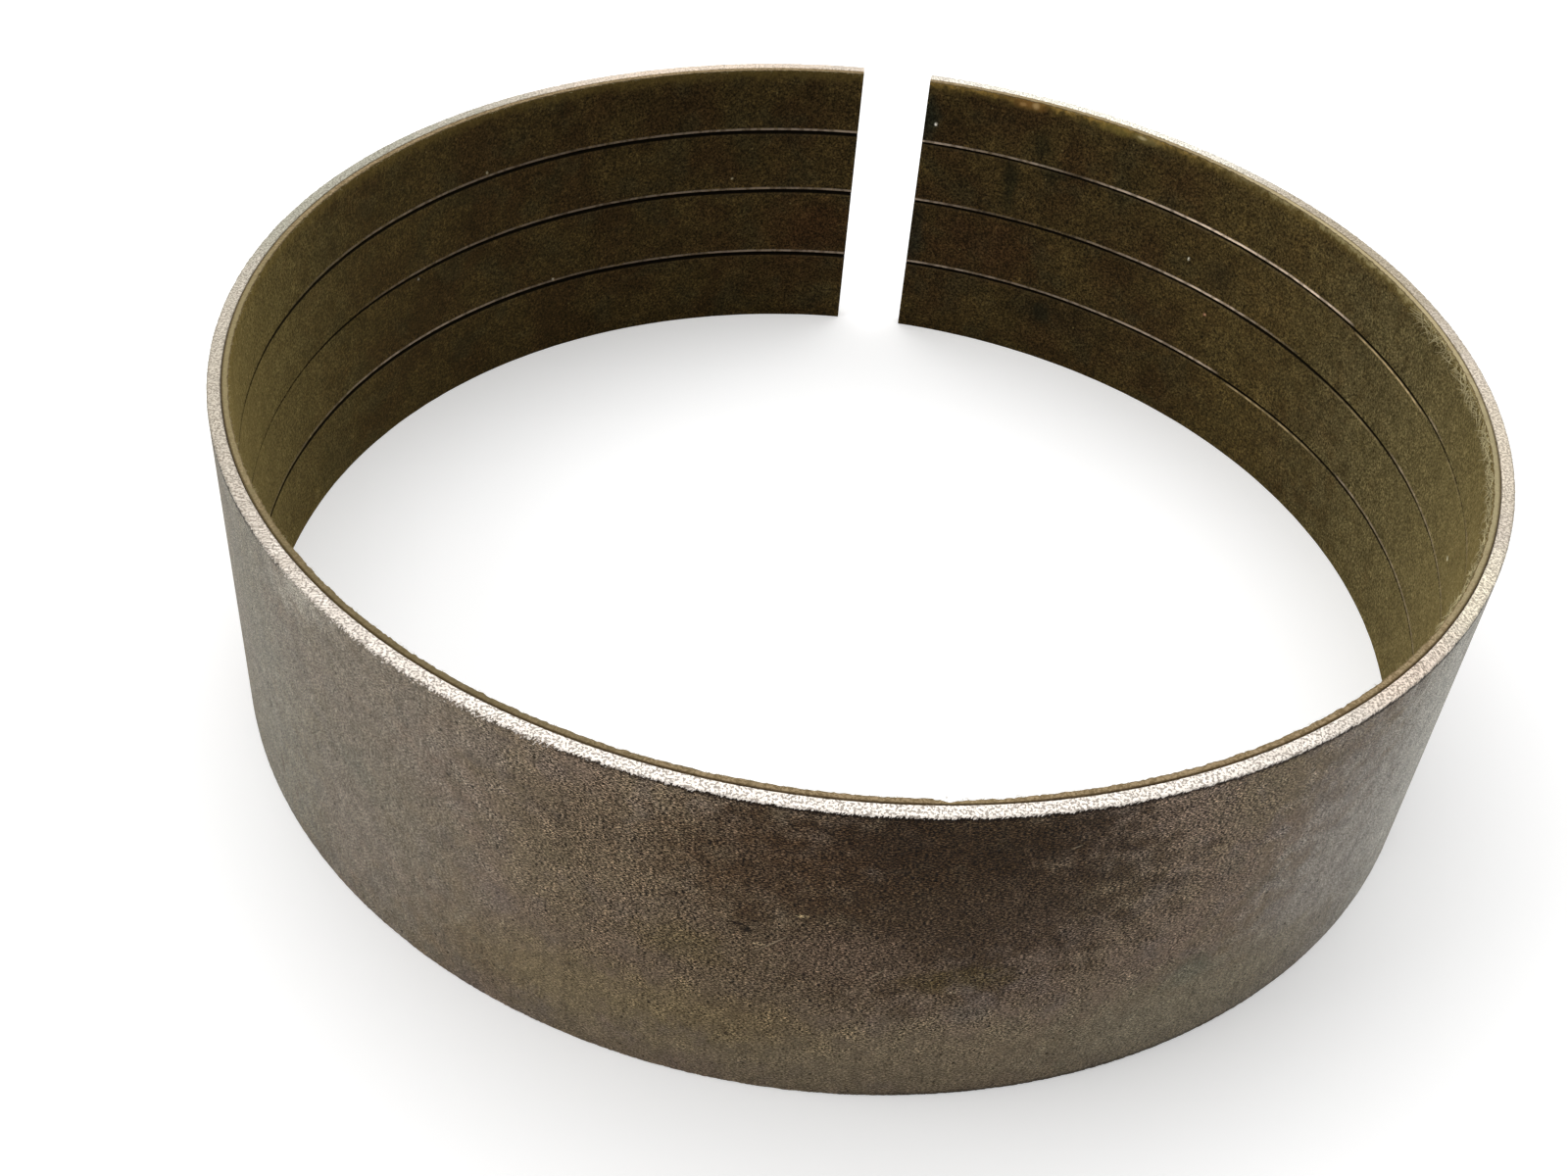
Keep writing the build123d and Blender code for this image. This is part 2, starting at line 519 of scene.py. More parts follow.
FIBRE_STEPS = 5
FIBRE_SIDES = 3
FIBRE_TAPER = 0.7  # share of its thickness that a fibre loses up to its tip
LOOSE_FIBRES = {
    "count": 2400,
    "length": (0.15, 0.50),
    "thickness": 0.024,
    "curl": 0.5,
    "inward": (-0.45, 0.02),
    "down": (0.05, 0.30),
    "seed": SEEDS["loose fibres"],
}
CURLED_FIBRES = {
    "count": 620,
    "length": (0.40, 0.90),
    "thickness": 0.080,
    "curl": 1.8,
    "inward": (-0.06, 0.04),
    "down": (0.05, 1.30),
    "seed": SEEDS["curled fibres"],
}
CURLED_STRETCH = (72, 122)  # degrees from the middle of the gap between which the paler, curled fibres stand


def fibre_mesh(name, first, last, count, length, thickness, curl, inward, down, seed):
    """Short bent fibres along the lining's top corner, each a three-sided tube that thins to its tip.

    A fibre's line is root + length (s out + s² bend) for s from 0 to 1. Its root lies inward of the
    working face and down from the lining's top by amounts drawn from two ranges. Sizes are in millimetres.
    """
    rng = np.random.default_rng(seed)
    angle = rng.uniform(first, last, count)
    root_radius = lining_inner - rng.uniform(*inward, count) * MM
    root_height = band_top - LINING_DROP - rng.uniform(*down, count) * MM
    radial = np.stack([np.sin(angle), np.cos(angle), np.zeros(count)], -1)
    along = np.stack([np.cos(angle), -np.sin(angle), np.zeros(count)], -1)
    upward = np.array([0.0, 0.0, 1.0])[None, :]
    root = radial * root_radius[:, None] + upward * root_height[:, None]
    lean = rng.normal(0, 1, (count, 3))
    inwards, aside, upwards = -0.25 - 0.4 * np.abs(lean[:, :1]), lean[:, 1:2], 0.25 * np.abs(lean[:, 2:])
    out = radial * inwards + along * aside + upward * upwards
    out /= np.linalg.norm(out, axis=1)[:, None]
    bend = along * rng.normal(0, curl, (count, 1)) - upward * rng.uniform(0, curl, (count, 1))
    lengths = rng.uniform(*length, count)[:, None, None] * MM
    share = np.linspace(0, 1, FIBRE_STEPS)[None, :, None]
    line = root[:, None] + lengths * (share * out[:, None] + share**2 * bend[:, None])
    side = np.cross(out, upward)
    side /= np.linalg.norm(side, axis=1)[:, None]
    over = np.cross(side, out)
    turn = np.arange(FIBRE_SIDES) * WHOLE_TURN / FIBRE_SIDES
    spoke = side[:, None] * np.cos(turn)[None, :, None] + over[:, None] * np.sin(turn)[None, :, None]
    points = line[:, :, None] + spoke[:, None] * thickness * MM * (1 - FIBRE_TAPER * share[..., None])
    points[..., 2] = np.minimum(points[..., 2], band_top)
    start = (np.arange(count) * FIBRE_STEPS * FIBRE_SIDES)[:, None, None]
    ring = start + (np.arange(FIBRE_STEPS - 1) * FIBRE_SIDES)[None, :, None]
    here = np.arange(FIBRE_SIDES)[None, None, :]
    after = (here + 1) % FIBRE_SIDES
    walls = np.stack([ring + here, ring + after, ring + FIBRE_SIDES + after, ring + FIBRE_SIDES + here], -1)
    tips = start[:, 0] + (FIBRE_STEPS - 1) * FIBRE_SIDES + np.arange(FIBRE_SIDES)
    roots = start[:, 0] + np.arange(FIBRE_SIDES)[::-1]
    faces = walls.reshape(-1, 4).tolist() + tips.tolist() + roots.tolist()
    mesh = bpy.data.meshes.new(name)
    mesh.from_pydata(points.reshape(-1, 3).tolist(), [], faces)
    return mesh


# Shader tools

MIX_SHARE, MIX_FIRST, MIX_SECOND, MIX_COLOUR = 0, 6, 7, 2  # the Mix node's sockets that are for colours
NUMBER, PLACE = "NodeSocketFloat", "NodeSocketVector"
RAGGED_CELL = 3.0 * MM
GROOVE_SOFTNESS = 0.05 * MM
WIDTH_SHARES = (0.92, 1.10)  # of the mouth that the channel's painted shade takes up, shallow and deep
CREST = 0.42  # distance of the lip's crest from the mouth, as a share of the lip's reach
RIDGE = (0.75, 0.25)  # shares of that reach, away from the crest, between which the lip brightens


class Nodes:
    """Adds shader nodes to one tree; each call returns the socket that it is used for."""

    def __init__(self, tree):
        self.tree = tree

    def feed(self, value, socket):
        """Links an input to another node's output, or sets it to a plain value."""
        if isinstance(value, bpy.types.NodeSocket):
            self.tree.links.new(value, socket)
        else:
            socket.default_value = value

    def put(self, kind, inputs, output=0, **settings):
        """Adds a node with its settings and inputs, and returns one of its outputs."""
        node = self.tree.nodes.new(kind)
        for name, value in settings.items():
            setattr(node, name, value)
        for name, value in inputs.items():
            self.feed(value, node.inputs[name])
        return node.outputs[output]

    def maths(self, operation, first, second=0.0):
        return self.put("ShaderNodeMath", {0: first, 1: second}, operation=operation)

    def sum(self, first, second):
        return self.maths("ADD", first, second)

    def times(self, first, second):
        return self.maths("MULTIPLY", first, second)

    def minus(self, first, second):
        return self.maths("SUBTRACT", first, second)

    def most(self, first, second):
        return self.maths("MAXIMUM", first, second)

    def vectors(self, operation, first, second=(0, 0, 0), output="Vector"):
        return self.put("ShaderNodeVectorMath", {0: first, 1: second}, output, operation=operation)

    def stretch(self, place, sizes):
        """Divides a place by a size for each axis, so that one unit of the result is one cell."""
        return self.vectors("MULTIPLY", place, [1 / size for size in sizes])

    def turned(self, place, angle):
        """Turns a place on the surface about the surface map's origin."""
        return self.put("ShaderNodeMapping", {"Vector": place, "Rotation": (0, 0, angle)})

    def scaled(self, colour, factor):
        """Colour times a number, which keeps its hue."""
        return self.put("ShaderNodeVectorMath", {0: colour, "Scale": factor}, operation="SCALE")

    def ease(self, value, low, high, to_low=0.0, to_high=1.0):
        """Smooth step of a value between two limits."""
        names = {"Value": value, "From Min": low, "From Max": high, "To Min": to_low, "To Max": to_high}
        return self.put("ShaderNodeMapRange", names, interpolation_type="SMOOTHSTEP")

    def noise(self, place, cell=1.0, detail=2.0, roughness=0.5, warp=0.0):
        """Soft noise from 0 to 1 with cells of one size."""
        sizes = {"Scale": 1 / cell, "Detail": detail, "Roughness": roughness, "Distortion": warp}
        return self.put("ShaderNodeTexNoise", {"Vector": place, **sizes})

    def blend(self, share, first, second):
        """Mixes two colours by a share, which may be a number or a mask."""
        names = {MIX_SHARE: share, MIX_FIRST: first, MIX_SECOND: second}
        return self.put("ShaderNodeMix", names, MIX_COLOUR, data_type="RGBA")

    def group(self, group, output, **inputs):
        """Places a node group, whose inputs are named as its sockets are, but in small letters."""
        named = {name.capitalize(): value for name, value in inputs.items()}
        return self.put("ShaderNodeGroup", named, output, node_tree=group)


class Finish(Nodes):
    """Shader nodes of one material, with its shader's inputs and the place that its patterns read."""

    def __init__(self, name, **constants):
        self.material = bpy.data.materials.new(name)
        self.material.use_nodes = True
        super().__init__(self.material.node_tree)
        self.shader = self.tree.nodes["Principled BSDF"].inputs
        for label, value in constants.items():
            self.shader[label.replace("_", " ")].default_value = value
        self.place = self.put("ShaderNodeTexCoord", {}, "Object")

    def surface_map(self):
        """Place on the piece's own map, and the height in it, which runs on over the top edge."""
        surface = self.put("ShaderNodeUVMap", {}, "UV", uv_map="surface")
        return surface, self.put("ShaderNodeSeparateXYZ", {"Vector": surface}, "Y")

    def stored(self, label):
        """Number stored at the piece's corners."""
        return self.put("ShaderNodeAttribute", {}, "Fac", attribute_name=label)

    def relief(self, height, depth):
        """Raises and sinks the surface by a height from 0 to 1 times a depth in metres."""
        bump = self.put("ShaderNodeBump", {"Height": height, "Distance": depth, "Strength": 1.0}, "Normal")
        self.feed(bump, self.shader["Normal"])


def tint(red, green, blue):
    """Linear colour from the red, green and blue that a picture shows, from 0 to 255, by the sRGB curve."""
    shares = [value / 255 for value in (red, green, blue)]
    linear = [share / 12.92 if share < 0.04045 else ((share + 0.055) / 1.055) ** 2.4 for share in shares]
    return linear + [1.0]


def new_group(name, takes, gives):
    """Starts a node group with named inputs and outputs, and returns its helper and its two ends' sockets."""
    tree = bpy.data.node_groups.new(name, "ShaderNodeTree")
    for label, (kind, value) in takes.items():
        socket = tree.interface.new_socket(label, in_out="INPUT", socket_type=kind)
        if value is not None:
            socket.default_value = value
    for label in gives:
        tree.interface.new_socket(label, in_out="OUTPUT", socket_type=NUMBER)
    return Nodes(tree), tree.nodes.new("NodeGroupInput").outputs, tree.nodes.new("NodeGroupOutput").inputs


def soft_spot_group():
    """Mask of one soft-edged patch: 1 about its centre, 0 where the distance, in spreads, passes 1.

    Noise is added to that distance, so the patch has a ragged outline.
    """
    takes = {
        "Place": (PLACE, None),
        "Centre": (PLACE, (0, 0, 0)),
        "Spread": (PLACE, (1, 1, 1)),
        "Ragged": (NUMBER, 0.6),
    }
    nodes, given, result = new_group("soft spot", takes, ["Mask"])
    offset = nodes.vectors("SUBTRACT", given["Place"], given["Centre"])
    distance = nodes.vectors("LENGTH", nodes.vectors("DIVIDE", offset, given["Spread"]), output="Value")
    rough = nodes.minus(nodes.noise(given["Place"], RAGGED_CELL, 4.0, 0.6), 0.5)
    ragged = nodes.sum(distance, nodes.times(nodes.times(rough, 2.0), given["Ragged"]))
    nodes.feed(nodes.ease(ragged, 1.0, 0.2), result["Mask"])
    return nodes.tree


def grain_group():
    """Struck or felted grain: a coarse and a fine noise added up, stretched by the cell's three sizes.

    Height is that sum. Shade is the square of one plus the contrast times the sum's distance from its
    middle, so that it darkens a colour as much as it lightens it, and keeps its hue.
    """
    takes = {"Surface": (PLACE, None), "Cell": (PLACE, (1, 1, 1)), "Contrast": (NUMBER, 2.0)}
    nodes, given, result = new_group("grain", takes, ["Shade", "Height"])
    shares = nodes.vectors("DIVIDE", given["Surface"], given["Cell"])
    coarse = nodes.noise(shares, 1.0, 1.0, 0.5, 0.4)
    fine = nodes.noise(shares, 0.55, 1.0, 0.5, 0.4)
    height = nodes.sum(nodes.times(coarse, 0.6), nodes.times(fine, 0.4))
    swing = nodes.most(nodes.sum(nodes.times(nodes.minus(height, 0.5), given["Contrast"]), 1.0), 0.12)
    nodes.feed(height, result["Height"])
    nodes.feed(nodes.times(swing, swing), result["Shade"])
    return nodes.tree


def pits_group():
    """Mask of small round pits: the distance to scattered points, cut off near each of some of them."""
    takes = {
        "Place": (PLACE, None),
        "Cell": (NUMBER, 1.0),
        "Size": (NUMBER, 0.3),
        "Share": (NUMBER, 0.5),
    }
    nodes, given, result = new_group("small pits", takes, ["Mask"])
    scale = nodes.maths("DIVIDE", 1.0, given["Cell"])
    cells = nodes.put("ShaderNodeTexVoronoi", {"Vector": given["Place"], "Scale": scale}).node.outputs
    lot = nodes.put("ShaderNodeSeparateColor", {"Color": cells["Color"]}, "Red")
    chosen = nodes.maths("LESS_THAN", lot, given["Share"])
    near = nodes.ease(cells["Distance"], given["Size"], 0.0)
    nodes.feed(nodes.times(near, chosen), result["Mask"])
    return nodes.tree


def pressed_groove_group():
    """Masks of one groove: its channel, where shade is painted dark, and the lips pushed up above and below
    it.
    """
    takes = {"Height": (NUMBER, 0.0), "Centre": (NUMBER, 0.0), "Depth": (NUMBER, 1.0)}
    nodes, given, result = new_group("pressed groove", takes, ["Channel", "Upper lip", "Lower lip"])
    above = nodes.minus(given["Height"], given["Centre"])
    mouth = nodes.ease(given["Depth"], 0.4, 1.0, *[GROOVE_MOUTH * share for share in WIDTH_SHARES])
    inside = nodes.minus(nodes.maths("ABSOLUTE", above), mouth)
    nodes.feed(nodes.ease(inside, GROOVE_SOFTNESS, -GROOVE_SOFTNESS), result["Channel"])
    crest = nodes.maths("ABSOLUTE", nodes.minus(inside, LIP_REACH * CREST))
    ridge = nodes.ease(crest, *[LIP_REACH * share for share in RIDGE])
    side = nodes.ease(above, -GROOVE_SOFTNESS, GROOVE_SOFTNESS)
    nodes.feed(nodes.times(ridge, side), result["Upper lip"])
    nodes.feed(nodes.times(ridge, nodes.minus(1.0, side)), result["Lower lip"])
    return nodes.tree


soft_spot = soft_spot_group()
grain = grain_group()
small_pits = pits_group()
pressed_groove = pressed_groove_group()


def spot(finish, surface, centre, spread):
    """Mask of a soft spot at a place on the surface, with its spread along the band and up it in mm."""
    sizes = (spread[0] * MM, spread[1] * MM, 1)
    return finish.group(soft_spot, "Mask", place=surface, centre=(*centre, 0), spread=sizes)


def near_top(finish, rise, depths):
    """Eases from 0 to 1 between two depths under the band's top; below 0 they lie on over its edge."""
    return finish.ease(rise, band_top - depths[0], band_top - depths[1])


def clouded(finish, colour, clouds):
    """Lays clouds of other tints over a colour, each where its own noise rises between two limits."""
    for label, cell, limits, shade, strength in clouds:
        cloud = finish.ease(finish.noise(finish.place, cell * MM, 3.0), *limits)
        cloud.node.label = label
        colour = finish.blend(finish.times(cloud, strength), colour, tint(*shade))
    return colour


def patched(finish, colour, surface, patches, locate):
    """Lays soft-edged patches of other tints over a colour, each at its own place on the surface."""
    for label, place, spread, shade, strength in patches:
        mask = spot(finish, surface, locate(*place), spread)
        mask.node.label = label
        colour = finish.blend(finish.times(mask, strength), colour, tint(*shade))
    return colour


# Strap finish

OXIDE = tint(123, 109, 88)
OXIDE_CLOUDS = (
    # what it is, cell in mm, limits of the noise, colour, strength
    ("rosy", 14, (0.38, 0.62), (127, 110, 95), 1.0),
    ("violet", 5, (0.50, 0.64), (114, 103, 95), 0.5),
    ("olive", 7, (0.52, 0.66), (111, 101, 76), 0.4),
)
OUTSIDE_PATCHES = (
    # what it is, centre pixel, spread along the band and up it in mm, colour, strength
    # painted reflection: the right end drawn paler where it mirrors the white surroundings at a flat angle
    ("painted reflection right", (1440, 780), (18, 60), (196, 194, 184), 0.95),
    ("painted reflection right", (1370, 880), (22, 44), (160, 154, 145), 0.80),
    # painted reflection: the left end drawn paler where it mirrors the white surroundings at a flat angle
    ("painted reflection left", (255, 640), (24, 70), (134, 132, 120), 0.60),
    ("dim middle", (760, 960), (34, 34), (97, 82, 64), 0.75),
    ("dim upper half", (990, 920), (38, 26), (52, 39, 25), 0.90),
    ("dark oxide", (960, 860), (27, 11), (44, 31, 18), 0.80),
    ("dark shoulder", (770, 880), (18, 10), (66, 49, 33), 0.60),
    ("rubbed low", (1000, 1080), (74, 11), (128, 115, 92), 0.75),
    ("ochre low left", (470, 960), (14, 8), (112, 94, 64), 0.40),
    ("ochre middle", (740, 1040), (15, 6), (108, 90, 60), 0.45),
    ("violet", (860, 975), (10, 6), (98, 82, 68), 0.60),
    ("violet", (590, 840), (12, 9), (92, 78, 62), 0.45),
    ("olive", (690, 960), (7, 4), (92, 80, 48), 0.45),
    ("olive", (980, 1000), (9, 3), (80, 68, 40), 0.50),
    ("dark patch", (920, 1035), (3.0, 2.0), (62, 48, 34), 0.35),
    ("grey patch", (985, 1035), (3.5, 2.5), (108, 98, 86), 0.70),
    ("blue-green left", (366, 785), (5, 4), (88, 94, 80), 0.50),
    ("blue-green right", (1215, 992), (5, 3.5), (84, 92, 80), 0.50),
    ("brown streak", (289, 777), (0.7, 2.4), (82, 62, 46), 0.85),
    ("brown streak", (303, 808), (0.8, 2.2), (88, 68, 52), 0.70),
    # painted reflection: the left face drawn paler, as at the left end
    ("painted reflection upper left", (400, 700), (20, 12), (144, 131, 116), 0.50),
    ("olive low left", (600, 1005), (26, 8), (130, 115, 84), 0.55),
    # painted reflection: the left face drawn paler where it is lit and mirrors the white surroundings
    ("painted reflection left wide", (320, 720), (30, 60), (134, 130, 118), 0.50),
    ("painted reflection left middle", (400, 790), (22, 40), (136, 126, 112), 0.40),
    ("rubbed low right", (1210, 1030), (26, 13), (142, 134, 114), 0.56),
    # painted reflection near the left end
    ("painted reflection upper left", (300, 590), (9, 8), (190, 184, 170), 0.45),
    ("dark oxide right", (1090, 846), (13, 6), (46, 34, 20), 0.45),
    ("pit cluster", (762, 949), (1.0, 0.6), (16, 10, 5), 0.95),
    ("pit", (752, 942), (0.9, 0.3), (16, 10, 5), 0.90),
    ("pit", (770, 940), (0.5, 0.3), (16, 10, 5), 0.90),
    ("pit", (741, 1054), (0.5, 0.4), (30, 20, 12), 0.80),
    ("pale mark", (818, 935), (1.0, 0.30), (166, 148, 112), 0.75),
    ("pale mark", (774, 963), (1.1, 0.26), (160, 142, 112), 0.65),
    ("pale mark", (972, 1013), (0.9, 0.26), (150, 136, 114), 0.60),
)
FAR_PATCHES = (
    # the same on the far side, out of the photograph's sight: degrees from the gap and share of the height
    # painted reflection: the pale ends' painted reflection carried on round the band
    ("painted reflection far right", (103, 0.5), (24, 70), (150, 144, 134), 0.80),
    ("painted reflection far right", (88, 0.6), (24, 34), (134, 126, 114), 0.60),
    ("painted reflection far left", (260, 0.5), (24, 70), (132, 126, 114), 0.50),
    ("dark oxide", (62, 0.30), (24, 11), (84, 70, 54), 0.60),
    ("dark oxide", (318, 0.78), (26, 8), (80, 66, 50), 0.60),
    ("rubbed", (36, 0.15), (20, 7), (136, 124, 106), 0.50),
    ("ochre", (292, 0.25), (20, 9), (120, 102, 72), 0.50),
)
FOOT_SHADOW_PATCHES = (
    # where a painted contact shadow darkens the lower corner: centre pixel and spread in mm
    ((1130, 1090), (40, 12)),
    ((980, 1115), (20, 12)),
)
GRAIN_PATCHES = (
    # where the struck grain stands out: centre pixel and spread in mm
    ((900, 920), (58, 34)),
    ((1080, 900), (40, 30)),
)
SCRATCHES = (
    # ends in pixels of each thin pale scratch
    ((766, 972), (812, 952)),
    ((882, 1001), (906, 988)),
    ((1090, 868), (1108, 861)),
    ((1236, 888), (1252, 868)),
    ((925, 1052), (940, 1036)),
)
BLAST_CENTRE = (880, 826)  # middle of the stretch whose edge was blasted bright
BLAST_SPREAD = (118, 30)
BARE_PATCHES = (
    # how the bare edge changes along the band: what it is, centre pixel, spread in mm, colour, strength
    ("back", (1130, 108), (46, 60), (252, 248, 234), 1.0),
    ("back left", (720, 72), (40, 60), (238, 220, 200), 0.8),
    ("upper left", (340, 180), (52, 60), (176, 173, 157), 1.0),
    ("left", (212, 400), (36, 60), (200, 191, 175), 0.9),
    ("upper right", (1400, 260), (34, 60), (180, 168, 146), 0.9),
    ("right", (1535, 480), (26, 60), (224, 212, 192), 0.8),
    ("right front", (1520, 606), (16, 60), (248, 238, 216), 1.0),
    ("low right front", (1460, 662), (12, 60), (242, 226, 210), 1.0),
)
FEATHER_PATCHES = (
    # where the bare edge ends in long feathered strokes: centre pixel and spread in mm
    ((400, 735), (44, 20)),
)
STROKE_PATCHES = (
    # where a file has left slanting strokes across the edge: centre pixel and spread in mm
    ((250, 520), (34, 30)),
    ((1515, 600), (40, 30)),
)

STREAK_CELL = (0.9 * MM, 26 * MM, 1)
STREAK_BROWN = tint(58, 44, 30)
STRUCK_CELL = (0.34 * MM, 0.13 * MM, 1)
STRUCK_CONTRAST = (3.2, 10.5)  # away from the grain patches, and in them
STRUCK_DEPTH = 0.14 * MM
MOTTLE_CELL = (1.6 * MM,) * 3
PIT_CELL = 1.5 * MM
PIT_BROWN = tint(18, 12, 7)
SCRATCH_WIDTH = 0.10 * MM
SCRATCH_PALE = tint(186, 170, 142)

FLAKE_SLANT = radians(-35)
FLAKE_CELL = (0.20 * MM, 0.60 * MM, 1)
FLAKE_REACH = (1.15 * MM, 4.50 * MM)  # away from the feathered stretch, and in it
SLOW_FLAKE_CELL = (1.6 * MM, 4.0 * MM, 1)
SLOW_FLAKE_REACH = 0.5 * MM
BORDER_DEPTHS = (0.85 * MM, 0.40 * MM)  # where the dark line below the bare edge comes up
BORDER_BROWN = tint(22, 12, 6)
# heights over which the painted contact shadow fades, and its colour
FOOT_HEIGHTS = (0.9 * MM, 0.1 * MM)
FOOT_SHADOW_PAINTED = tint(26, 18, 10)

BARE_DEPTHS = (0.27 * MM, 0.17 * MM)  # where the bare edge starts
BARE_STEEL = tint(214, 203, 189)
BLASTED_STEEL = tint(252, 243, 233)
STROKE_SLANT = radians(52)
STROKE_CELL = (3.0 * MM, 0.16 * MM, 1)
STROKE_GREY = tint(150, 138, 122)
ROUNDED_DEPTHS = (-0.32 * MM, 0.0)  # where the outer corner is rounded off
ROUNDED_GREY = tint(122, 116, 98)
ROUGH_CELL = 1.1 * MM
SPECK_CELL = 0.30 * MM
SPECK_BROWN = tint(112, 96, 80)


def mask_of(finish, surface, places):
    """Largest of the masks of several soft spots on the outer face, each a pixel and a spread."""
    masks = [spot(finish, surface, on_outside(*pixel), spread) for pixel, spread in places]
    return reduce(finish.most, masks)


def scratch_mask(finish, surface, start, end):
    """Mask of one thin straight scratch: a soft spot in coordinates turned to lie along it."""
    start, end = Vector(on_outside(*start)), Vector(on_outside(*end))
    middle, reach = (start + end) / 2, (end - start) / 2
    centred = finish.vectors("SUBTRACT", surface, (*middle, 0))
    laid = finish.turned(centred, -atan2(reach.y, reach.x))
    return finish.group(soft_spot, "Mask", place=laid, spread=(reach.length, SCRATCH_WIDTH, 1), ragged=0.3)


def oxide_colour(finish, surface, struck, pits):
    """Brown oxide: clouds, patches, some of them painted reflection, fine upright streaks, struck grain, pits
    and scratches.
    """
    colour = clouded(finish, OXIDE, OXIDE_CLOUDS)
    colour = patched(finish, colour, surface, FAR_PATCHES, out_of_sight)
    colour = patched(finish, colour, surface, OUTSIDE_PATCHES, on_outside)
    streak = finish.noise(finish.stretch(surface, STREAK_CELL), 1.0, 3.0)
    colour = finish.blend(finish.ease(streak, 0.55, 0.75, 0.0, 0.22), colour, STREAK_BROWN)
    colour = finish.scaled(colour, finish.group(grain, "Shade", **struck))
    mottle = finish.group(grain, "Shade", surface=finish.place, cell=MOTTLE_CELL, contrast=0.6)
    colour = finish.scaled(colour, mottle)
    colour = finish.blend(finish.times(pits, 0.85), colour, PIT_BROWN)
    for start, end in SCRATCHES:
        mark = scratch_mask(finish, surface, start, end)
        colour = finish.blend(finish.times(mark, 0.75), colour, SCRATCH_PALE)
    return colour


def ragged_rise(finish, surface, rise, feathered):
    """Height on the strap made ragged by slanting flakes, which reach far down in the feathered stretch."""
    slant = finish.turned(surface, FLAKE_SLANT)
    flake = finish.minus(finish.noise(finish.stretch(slant, FLAKE_CELL), 1.0, 2.0), 0.5)
    slow_flake = finish.minus(finish.noise(finish.stretch(surface, SLOW_FLAKE_CELL), 1.0, 2.0), 0.5)
    reach = finish.ease(feathered, 0.0, 1.0, *FLAKE_REACH)
    ragged = finish.sum(finish.times(flake, reach), finish.times(slow_flake, SLOW_FLAKE_REACH))
    return finish.sum(rise, ragged)


def bare_colour(finish, surface, rise, specks):
    """Bright sheared metal: blasted at the front, filed in places, rounded off outside and specked."""
    blasted = spot(finish, surface, on_outside(*BLAST_CENTRE), BLAST_SPREAD)
    colour = finish.blend(blasted, BARE_STEEL, BLASTED_STEEL)
    colour = patched(finish, colour, surface, BARE_PATCHES, on_top_corner(strap_outer))
    filed = finish.noise(finish.stretch(finish.turned(surface, STROKE_SLANT), STROKE_CELL), 1.0, 2.0)
    strokes = finish.times(finish.ease(filed, 0.48, 0.60), mask_of(finish, surface, STROKE_PATCHES))
    colour = finish.blend(finish.times(strokes, 0.55), colour, STROKE_GREY)
    corner = near_top(finish, rise, ROUNDED_DEPTHS)
    rounded = finish.times(corner, finish.ease(blasted, 0.0, 0.5, 0.55, 0.0))
    colour = finish.blend(rounded, colour, ROUNDED_GREY)
    speck_depth = finish.times(specks, finish.ease(blasted, 0.0, 1.0, 0.42, 0.66))
    return finish.blend(speck_depth, colour, SPECK_BROWN)


def strap_finish():
    """Brown oxide with a fine struck grain on the faces, and bright bare metal at the sheared edges."""
    finish = Finish("strap_finish", Specular_IOR_Level=0.05)
    surface, rise = finish.surface_map()
    sharpness = finish.ease(mask_of(finish, surface, GRAIN_PATCHES), 0.0, 1.0, *STRUCK_CONTRAST)
    struck = {"surface": surface, "cell": STRUCK_CELL, "contrast": sharpness}
    pits = finish.group(small_pits, "Mask", place=finish.place, cell=PIT_CELL, size=0.21, share=0.38)
    colour = oxide_colour(finish, surface, struck, pits)

    # painted contact shadow along the bottom corner at the front
    foot_shadow = finish.times(finish.ease(rise, *FOOT_HEIGHTS), mask_of(finish, surface, FOOT_SHADOW_PATCHES))
    colour = finish.blend(finish.times(foot_shadow, 0.75), colour, FOOT_SHADOW_PAINTED)
    feathered = mask_of(finish, surface, FEATHER_PATCHES)
    ragged = ragged_rise(finish, surface, rise, feathered)
    border = near_top(finish, ragged, BORDER_DEPTHS)
    border_strength = finish.ease(feathered, 0.0, 0.8, 0.92, 0.10)
    colour = finish.blend(finish.times(border, border_strength), colour, BORDER_BROWN)
    bare = near_top(finish, ragged, BARE_DEPTHS)
    specks = finish.ease(finish.noise(finish.place, SPECK_CELL, 2.0, 0.6), 0.50, 0.60)
    colour = finish.blend(bare, colour, bare_colour(finish, surface, rise, specks))
    finish.feed(colour, finish.shader["Base Color"])
    finish.feed(finish.sum(finish.times(bare, 0.35), 0.10), finish.shader["Metallic"])

    rough = finish.sum(finish.times(finish.noise(finish.place, ROUGH_CELL, 3.0), 0.30), 0.38)
    finish.feed(rough, finish.shader["Roughness"])
    sunk = finish.most(pits, finish.times(specks, bare))
    finish.relief(finish.minus(finish.group(grain, "Height", **struck), sunk), STRUCK_DEPTH)
    return finish.material


# Lining finish

